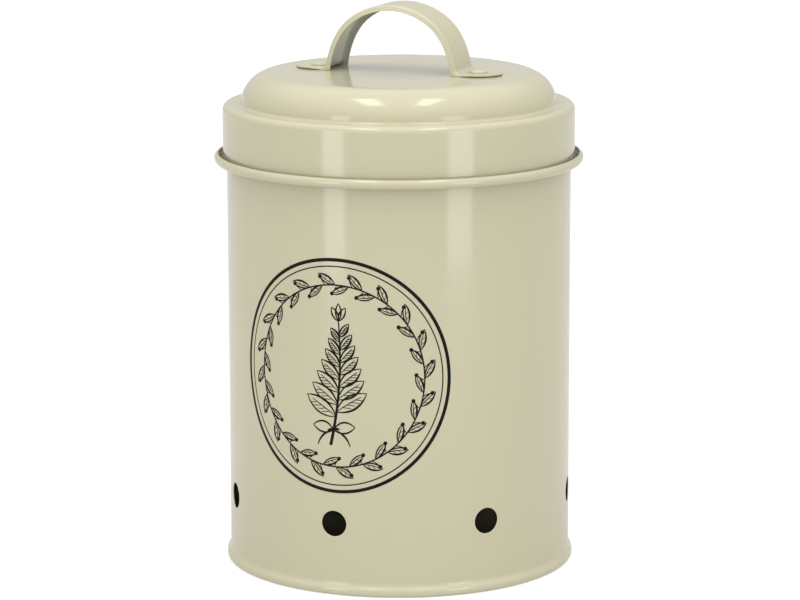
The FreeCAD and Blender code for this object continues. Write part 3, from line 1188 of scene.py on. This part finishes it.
@dataclass
class FlatArt:
    """Closed thin shapes laid out flat: x runs round the drum, y runs up and z is the film's thickness."""

    film: float = 0.03
    shape: Shape = field(default_factory=Shape)

    def stroke(self, points: Sequence[Point], widths: Sequence[float]) -> None:
        """Add a line of ink.

        Args:
            points: Points along the middle of the line.
            widths: Width of the line at each point.
        """
        left, right = [], []
        for here, (x, y) in enumerate(points):
            before, after = points[max(here - 1, 0)], points[min(here + 1, len(points) - 1)]
            run_x, run_y = after[0] - before[0], after[1] - before[1]
            length = math.hypot(run_x, run_y) or 1.0
            half = widths[here] / 2
            left.append((x - run_y / length * half, y + run_x / length * half))
            right.append((x + run_y / length * half, y - run_x / length * half))
        self._solid(left, right)

    def line(self, start: Point, end: Point, sag: float, widest: float, thin: float,
             count: int = 12) -> None:
        """Add a shallow bow of ink that swells in the middle.

        Args:
            start: First point.
            end: Last point.
            sag: How far the bow's middle is to the left of the straight line.
            widest: Width in the middle.
            thin: Width at both ends.
            count: Number of steps.
        """
        widths = [thin + (widest - thin) * math.sin(math.pi * step / count) for step in range(count + 1)]
        self.stroke(arc_points(start, end, sag, count), widths)

    def ring(self, radius: float, width: float, count: int = 360) -> None:
        """Add a ring of ink round the origin.

        Args:
            radius: Middle radius of the ring.
            width: Width of its line.
            count: Number of corners.
        """
        loops = []
        for reach, level in ((radius + width / 2, 0.0), (radius + width / 2, self.film),
                             (radius - width / 2, self.film), (radius - width / 2, 0.0)):
            loops.append([self.shape.add(reach * math.cos(angle), reach * math.sin(angle), level)
                          for angle in even_angles(count)])
        for here in range(4):
            self.shape.band(loops[here], loops[(here + 1) % 4])

    def blob(self, x: float, y: float, radius: float, count: int = 20) -> None:
        """Add a round dot of ink.

        Args:
            x: Place along the drum.
            y: Height.
            radius: Radius of the dot.
            count: Number of corners.
        """
        left = [(x + radius * math.cos(math.pi * step / count), y + radius * math.sin(math.pi * step / count))
                for step in range(count + 1)]
        right = [(px, 2 * y - py) for px, py in left]
        self._solid(left, right)

    def _solid(self, left: Sequence[Point], right: Sequence[Point]) -> None:
        """Add the closed film between two edges of the same number of points.

        Args:
            left: Points of one edge.
            right: Points of the other edge.
        """
        rows = []
        for (left_x, left_y), (right_x, right_y) in zip(left, right):
            rows.append([self.shape.add(x, y, level) for x, y, level in (
                (left_x, left_y, 0.0), (right_x, right_y, 0.0),
                (right_x, right_y, self.film), (left_x, left_y, self.film))])
        for first, second in zip(rows, rows[1:]):
            self.shape.band(first, second)
        self.shape.faces.append(tuple(rows[0]))
        self.shape.faces.append(tuple(rows[-1][::-1]))


def arc_points(start: Point, end: Point, sag: float, count: int = 12) -> list[Point]:
    """Return points along a shallow bow between two points.

    Args:
        start: First point.
        end: Last point.
        sag: How far the bow's middle is to the left of the straight line, in mm.
        count: Number of steps.

    Returns:
        The points.
    """
    run_x, run_y = end[0] - start[0], end[1] - start[1]
    length = math.hypot(run_x, run_y) or 1.0
    points = []
    for step in range(count + 1):
        share = step / count
        lift = 4 * sag * share * (1 - share)
        points.append((start[0] + run_x * share - run_y / length * lift,
                       start[1] + run_y * share + run_x / length * lift))
    return points


def between(start: Point, end: Point, share: float) -> Point:
    """Return the point at a share of the way between two points."""
    return start[0] + (end[0] - start[0]) * share, start[1] + (end[1] - start[1]) * share


@dataclass
class PrintedRing(Piece):
    """The black line print on the drum: a double ring with a wreath of leaves and a herb sprig in it."""

    node: str = "side_wall"
    body: Body = Body.DRUM
    slot: Slot = Slot.PRINT
    drum_radius: float = 63.0
    centre_height: float = 79.8
    turn: float = 0.9
    stretch: float = 1.025
    lift: float = 0.02
    outer_radius: float = 40.9
    outer_line: float = 1.2
    inner_radius: float = 38.6
    inner_line: float = 0.42
    wreath_count: int = 20
    wreath_radius: float = 32.1

    def build(self, material: bpy.types.Material) -> list[bpy.types.Object]:
        """Build every part of the print.

        Args:
            material: The ink.

        Returns:
            The print's objects.
        """
        wrap = self._wrap_group()
        step = 2 * math.pi / self.wreath_count
        rings, stem = FlatArt(), FlatArt()
        rings.ring(self.outer_radius, self.outer_line)
        rings.ring(self.inner_radius, self.inner_line)
        stem.ring(self.wreath_radius, 0.5)
        many, middle = self.wreath_count, self.wreath_radius
        laid = (
            ("print_rings", rings, 1, 0.0, 0.0, 0.0),
            ("print_wreath_outer_leaves", self._leaf(7.4, 2.3, 3), many, middle + 0.1, 0.0, -0.50),
            ("print_wreath_inner_leaves", self._leaf(7.0, 2.1, 3), many, middle - 0.1, step / 2, 0.55),
            ("print_wreath_stem", stem, 1, 0.0, 0.0, 0.0),
            ("print_outer_berries", self._berry(3.1), many, middle, step * 0.42, 0.0),
            ("print_inner_berries", self._berry(-3.0), many, middle, 0.0, 0.0),
            ("print_sprig", self._sprig(), 1, 0.0, 0.0, 0.0))
        return [self._laid(wrap, *row, material) for row in laid]

    @staticmethod
    def _berry(across: float) -> FlatArt:
        """Return a berry on its stalk, so far out from the stem.

        Args:
            across: Distance of the berry from the stem.

        Returns:
            The flat shape.
        """
        art = FlatArt()
        art.blob(across, 1.2, 0.7)
        art.line((0.0, -0.6), (across, 1.2), 0.2, 0.34, 0.24, 6)
        return art

    @staticmethod
    def _leaf(length: float, breadth: float, veins: int) -> FlatArt:
        """Return one outlined leaf that grows along +Y, with a midrib and short veins on one side.

        Args:
            length: Length of the leaf.
            breadth: Breadth of the leaf.
            veins: Number of veins.

        Returns:
            The flat shape.
        """
        art = FlatArt()
        foot, tip = (0.0, 0.0), (0.0, length)
        art.line(foot, tip, breadth / 2, 0.5, 0.24)
        art.line(foot, tip, -breadth / 2, 0.7, 0.24)
        art.line(foot, (0.0, length * 0.82), breadth * 0.12, 0.34, 0.2)
        for vein in range(veins):
            share = 0.26 + 0.5 * vein / max(veins - 1, 1)
            start = (0.0, length * share)
            reach = breadth * 0.36 * math.sin(math.pi * min(share + 0.12, 0.95))
            art.line(start, (reach, start[1] + 0.9), 0.1, 0.2, 0.12, 4)
        return art

    @staticmethod
    def _sprig() -> FlatArt:
        """Return the middle motif: a leafy herb sprig with a tied stem.

        Returns:
            The flat shape.
        """
        art = FlatArt()
        stem = arc_points((-2.0, -24.5), (1.2, 19.5), -1.8, 40)
        art.stroke(stem, [1.15 - 0.7 * step / 40 for step in range(41)])
        for pair in range(7):
            here = stem[10 + 4 * pair]
            size = 13.4 - 1.25 * pair
            belly = size * 0.185
            for side in (-1.0, 1.0):
                angle = math.radians(90.0 - side * (58.0 - 4.0 * pair))
                base = (here[0], here[1] + (1.0 if side > 0 else -0.7))
                tip = (base[0] + size * math.cos(angle), base[1] + size * math.sin(angle))
                art.line(base, tip, belly, 0.58, 0.26)
                art.line(base, tip, -belly, 0.8, 0.26)
                art.line(base, between(base, tip, 0.82), side * 0.2, 0.36, 0.2)
                turn = angle - side * math.radians(36.0)
                reach = belly * 1.2
                for vein in (0.24, 0.38, 0.52, 0.66):
                    start = between(base, tip, vein)
                    end = (start[0] + reach * math.cos(turn), start[1] + reach * math.sin(turn))
                    art.line(start, end, 0.08, 0.28, 0.16, 4)
        crown = stem[-1]
        for side in (-1.0, 0.0, 1.0):
            tip = (crown[0] + side * 2.6, crown[1] + 6.2 - abs(side) * 1.4)
            for bow in (1.0, -1.0):
                art.line(crown, tip, bow, 0.6, 0.26)
        knot = stem[5]
        art.line((knot[0] - 2.3, knot[1] - 0.3), (knot[0] + 2.3, knot[1] + 0.3), 0.4, 1.1, 0.5)
        for side in (-1.0, 1.0):
            far = (knot[0] + side * 8.0, knot[1] + 1.4)
            art.line(knot, far, side * 2.2, 0.65, 0.3)
            art.line(far, knot, side * 1.7, 0.65, 0.3)
            art.line(knot, (knot[0] + side * 6.2, knot[1] - 5.6), side * 1.2, 0.75, 0.3)
        return art

    def _laid(self, wrap: bpy.types.NodeTree, name: str, art: FlatArt, count: int, radius: float,
              first: float, lean: float, material: bpy.types.Material) -> bpy.types.Object:
        """Lay a flat shape out round the print's middle and wrap it on the drum.

        Args:
            wrap: The node group that does it.
            name: Name of the object.
            art: The flat shape.
            count: How many times it is repeated.
            radius: Radius of the circle that it is repeated round.
            first: Angle of the first one.
            lean: Angle by which each one is turned.
            material: The ink.

        Returns:
            The finished object.
        """
        flat = art.shape.build(name)
        modifier = flat.modifiers.new("wrap", "NODES")
        modifier.node_group = wrap
        values = {"Count": count, "Radius": radius * MM, "First Angle": first, "Lean": lean,
                  "Drum Radius": (self.drum_radius + self.lift) * MM,
                  "Centre Height": self.centre_height * MM, "Turn": math.radians(self.turn),
                  "Stretch": self.stretch, "Ink": material}
        for item in wrap.interface.items_tree:
            if item.in_out == "INPUT" and item.name in values:
                modifier[item.identifier] = values[item.name]
        bpy.context.view_layer.update()
        evaluated = flat.evaluated_get(bpy.context.evaluated_depsgraph_get())
        mesh = bpy.data.meshes.new_from_object(evaluated)
        flat.modifiers.clear()
        flat.data = mesh
        mesh.name = name
        return self.dress(flat, material, stands_for=False)

    @staticmethod
    def _wrap_group() -> bpy.types.NodeTree:
        """Return the node group that repeats a flat shape round a circle and wraps it on a drum.

        Returns:
            The node group.
        """
        group = GroupMaker(
            "wrap_print",
            {"Geometry": (Socket.GEOMETRY, None), "Count": (Socket.COUNT, 1),
             "Radius": (Socket.VALUE, 0.0), "First Angle": (Socket.VALUE, 0.0),
             "Lean": (Socket.VALUE, 0.0), "Drum Radius": (Socket.VALUE, 0.063),
             "Centre Height": (Socket.VALUE, 0.08), "Turn": (Socket.VALUE, 0.0),
             "Stretch": (Socket.VALUE, 1.0), "Ink": (Socket.MATERIAL, None)},
            {"Geometry": Socket.GEOMETRY}, "GeometryNodeTree")
        source = group.source
        number = group.node("GeometryNodeInputIndex").outputs[0]
        share = group.math("DIVIDE", number, source["Count"])
        angle = group.math("MULTIPLY_ADD", share, 2 * math.pi, source["First Angle"])
        spoke = group.node("ShaderNodeCombineXYZ", {
            "X": group.math("COSINE", angle), "Y": group.math("SINE", angle)})
        place = group.node("ShaderNodeVectorMath", {0: spoke.outputs[0], "Scale": source["Radius"]},
                           operation="SCALE")
        spots = group.node("GeometryNodePoints", {"Count": source["Count"]})
        laid = group.node("GeometryNodeSetPosition", {
            "Geometry": spots.outputs[0], "Position": place.outputs[0]})
        turned = group.node("ShaderNodeCombineXYZ", {"Z": group.math("ADD", angle, source["Lean"])})
        repeated = group.node("GeometryNodeInstanceOnPoints", {
            "Points": laid.outputs[0], "Instance": source["Geometry"], "Rotation": turned.outputs[0]})
        real = group.node("GeometryNodeRealizeInstances", {"Geometry": repeated.outputs[0]})
        here = group.node("GeometryNodeInputPosition").outputs[0]
        flat = group.node("ShaderNodeSeparateXYZ", {"Vector": here}).outputs
        around = group.math("ADD", group.math("DIVIDE", flat["X"], source["Drum Radius"]), source["Turn"])
        reach = group.math("ADD", flat["Z"], source["Drum Radius"])
        depth = group.math("MULTIPLY", group.math("COSINE", around), reach)
        wrapped = group.node("ShaderNodeCombineXYZ", {
            "X": group.math("MULTIPLY", group.math("SINE", around), reach),
            "Y": group.math("MULTIPLY", depth, -1.0),
            "Z": group.math("MULTIPLY_ADD", flat["Y"], source["Stretch"], source["Centre Height"])})
        moved = group.node("GeometryNodeSetPosition", {
            "Geometry": real.outputs[0], "Position": wrapped.outputs[0]})
        inked = group.node("GeometryNodeSetMaterial", {
            "Geometry": moved.outputs[0], "Material": source["Ink"]})
        group.finish("Geometry", inked.outputs[0])
        return group.tree


# Assemblies


@dataclass
class DrumAssembly:
    """The drum: wall, base and print."""

    wall: SideWall = field(default_factory=SideWall)
    base: BaseDisc = field(default_factory=BaseDisc)
    printed: PrintedRing = field(default_factory=PrintedRing)

    def build(self, enamel: bpy.types.Material, ink: bpy.types.Material) -> None:
        """Build and dress the drum's pieces.

        Args:
            enamel: Material of the sheet.
            ink: Material of the print.
        """
        self.wall.dress(self.wall.build(), enamel)
        self.base.dress(self.base.build(), enamel)
        self.printed.build(ink)


@dataclass
class LidAssembly:
    """The lid: shell, handle and two rivets."""

    shell: LidShell = field(default_factory=LidShell)
    handle: HandleStrap = field(default_factory=HandleStrap)
    rivets: tuple[Rivet, Rivet] = field(default_factory=lambda: (
        Rivet(node="left_rivet", side=-1.0), Rivet(node="right_rivet", side=1.0)))

    def build(self, enamel: bpy.types.Material) -> None:
        """Build and dress the lid's pieces.

        Args:
            enamel: Material of the sheet.
        """
        for piece in (self.shell, self.handle, *self.rivets):
            piece.dress(piece.build(), enamel)


# Studio


@dataclass(frozen=True)
class SoftLight:
    """A rectangular soft light, placed from the object's axis as the camera sees it.

    The middle is so far to the right, so far towards the camera and so high, in metres.
    """

    name: str
    right: float
    near: float
    high: float
    width: float
    length: float
    radiance: float
    faces_down: bool = False


@dataclass
class Studio:
    """Pale floor, even surroundings, two strip lights and the camera."""

    camera_bearing: float = 21.9
    camera_distance: float = 1.23965
    camera_height: float = 0.3453
    pitch: float = 11.396
    yaw: float = 0.0136
    roll: float = -0.126
    lens: float = 154.03
    backdrop: float = 1.02
    ahead: float = 0.98
    behind: float = 0.62
    overhead: float = 0.75
    floor_glow: float = 0.12
    floor_glow_seen: float = 0.5
    sensor_width: float = 36.0
    lights: tuple[SoftLight, ...] = (
        SoftLight("front_left", -0.406, 0.469, 0.1775, 0.148, 0.335, 2.6),
        SoftLight("front_right", 0.385, 0.486, 0.1775, 0.178, 0.335, 2.4),
        SoftLight("ceiling_left", -0.24, 0.29, 1.08, 0.18, 0.50, 5.0, faces_down=True),
        SoftLight("ceiling_right", 0.24, 0.29, 1.08, 0.16, 0.50, 5.0, faces_down=True),
    )

    def build(self) -> None:
        """Build the floor, the lights and the camera."""
        self._floor()
        self._surroundings()
        for light in self.lights:
            self._light(light)
        self._camera()

    def _floor(self) -> None:
        """Build the pale floor, which glows a little so that it runs into the backdrop."""
        bpy.ops.mesh.primitive_plane_add(size=8.0, location=(0.0, 0.0, -0.0002))
        floor = bpy.context.active_object
        floor.name = "floor"
        pale = bpy.data.materials.new("pale_floor")
        pale.use_nodes = True
        shader = pale.node_tree.nodes["Principled BSDF"]
        shader.inputs["Base Color"].default_value = (0.55, 0.55, 0.55, 1.0)
        shader.inputs["Roughness"].default_value = 0.7
        shader.inputs["Emission Color"].default_value = (1.0, 1.0, 1.0, 1.0)
        seen = add_node(pale.node_tree, "ShaderNodeLightPath").outputs["Is Camera Ray"]
        glow = add_node(pale.node_tree, "ShaderNodeMapRange", {
            "Value": seen, "To Min": self.floor_glow, "To Max": self.floor_glow_seen})
        pale.node_tree.links.new(glow.outputs[0], shader.inputs["Emission Strength"])
        floor.data.materials.append(pale)

    def _surroundings(self) -> None:
        """Build surroundings that are brighter ahead and overhead than behind the object."""
        world = bpy.data.worlds.new("pale_surroundings")
        world.use_nodes = True
        tree = world.node_tree
        backdrop = tree.nodes["Background"]
        bearing = math.radians(self.camera_bearing)
        way = add_node(tree, "ShaderNodeTexCoord").outputs["Generated"]
        facing = add_node(tree, "ShaderNodeVectorMath", {
            0: way, 1: (math.sin(bearing), -math.cos(bearing), 0.35)}, operation="DOT_PRODUCT")
        shade = add_node(tree, "ShaderNodeMapRange", {
            "Value": facing.outputs["Value"], "From Min": -0.7, "From Max": 1.0,
            "To Min": self.behind, "To Max": self.ahead})
        upward = add_node(tree, "ShaderNodeSeparateXYZ", {0: way}).outputs["Z"]
        ceiling = add_node(tree, "ShaderNodeMapRange", {
            "Value": upward, "From Min": 0.45, "From Max": 0.85, "To Min": 0.0, "To Max": self.overhead})
        lit = add_node(tree, "ShaderNodeMath", {0: shade.outputs[0], 1: ceiling.outputs[0]},
                       operation="ADD")
        seen = add_node(tree, "ShaderNodeLightPath").outputs["Is Camera Ray"]
        level = add_node(tree, "ShaderNodeMix", {0: seen, 2: lit.outputs[0], 3: self.backdrop},
                         data_type="FLOAT")
        backdrop.inputs["Color"].default_value = (1.0, 1.0, 1.0, 1.0)
        tree.links.new(level.outputs[0], backdrop.inputs["Strength"])
        bpy.context.scene.world = world
        bpy.context.scene.view_settings.view_transform = "Standard"

    def _light(self, light: SoftLight) -> None:
        """Build one soft light.

        Args:
            light: Its place, size and radiance.
        """
        data = bpy.data.lights.new(light.name, "AREA")
        data.shape = "RECTANGLE"
        data.size, data.size_y = light.width, light.length
        data.energy = light.radiance * math.pi * light.width * light.length
        lamp = bpy.data.objects.new(light.name, data)
        around = Matrix.Rotation(math.radians(self.camera_bearing), 4, "Z")
        lamp.location = around @ Vector((light.right, -light.near, light.high))
        aim = Vector((-lamp.location.x, -lamp.location.y, 0.0))
        facing = around if light.faces_down else aim.to_track_quat("-Z", "Y").to_matrix().to_4x4()
        lamp.rotation_mode = "QUATERNION"
        lamp.rotation_quaternion = facing.to_quaternion()
        bpy.context.scene.collection.objects.link(lamp)

    def _camera(self) -> None:
        """Build the camera and make it the scene's camera."""
        data = bpy.data.cameras.new("camera")
        data.lens = self.lens
        data.sensor_width = self.sensor_width
        data.sensor_fit = "HORIZONTAL"
        data.dof.use_dof = False
        camera = bpy.data.objects.new("camera", data)
        bearing = math.radians(self.camera_bearing)
        camera.location = (self.camera_distance * math.sin(bearing),
                           -self.camera_distance * math.cos(bearing), self.camera_height)
        upright = Matrix.Rotation(bearing - math.radians(self.yaw), 4, "Z")
        tilt = Matrix.Rotation(math.radians(90.0 - self.pitch), 4, "X")
        turn = Matrix.Rotation(math.radians(self.roll), 4, "Z")
        camera.rotation_mode = "QUATERNION"
        camera.rotation_quaternion = (upright @ tilt @ turn).to_quaternion()
        bpy.context.scene.collection.objects.link(camera)
        bpy.context.scene.camera = camera


def main() -> None:
    """Build the garlic keeper on the frame, then the studio."""
    logging.basicConfig(level=logging.INFO, format="%(name)s: %(message)s")
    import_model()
    effects = SharedEffects()
    enamel = EnamelFinish().material(effects)
    ink = PrintFinish().material(effects)
    DrumAssembly().build(enamel, ink)
    LidAssembly().build(enamel)
    Studio().build()
    LOG.info("built")


if __name__ == "__main__":
    main()
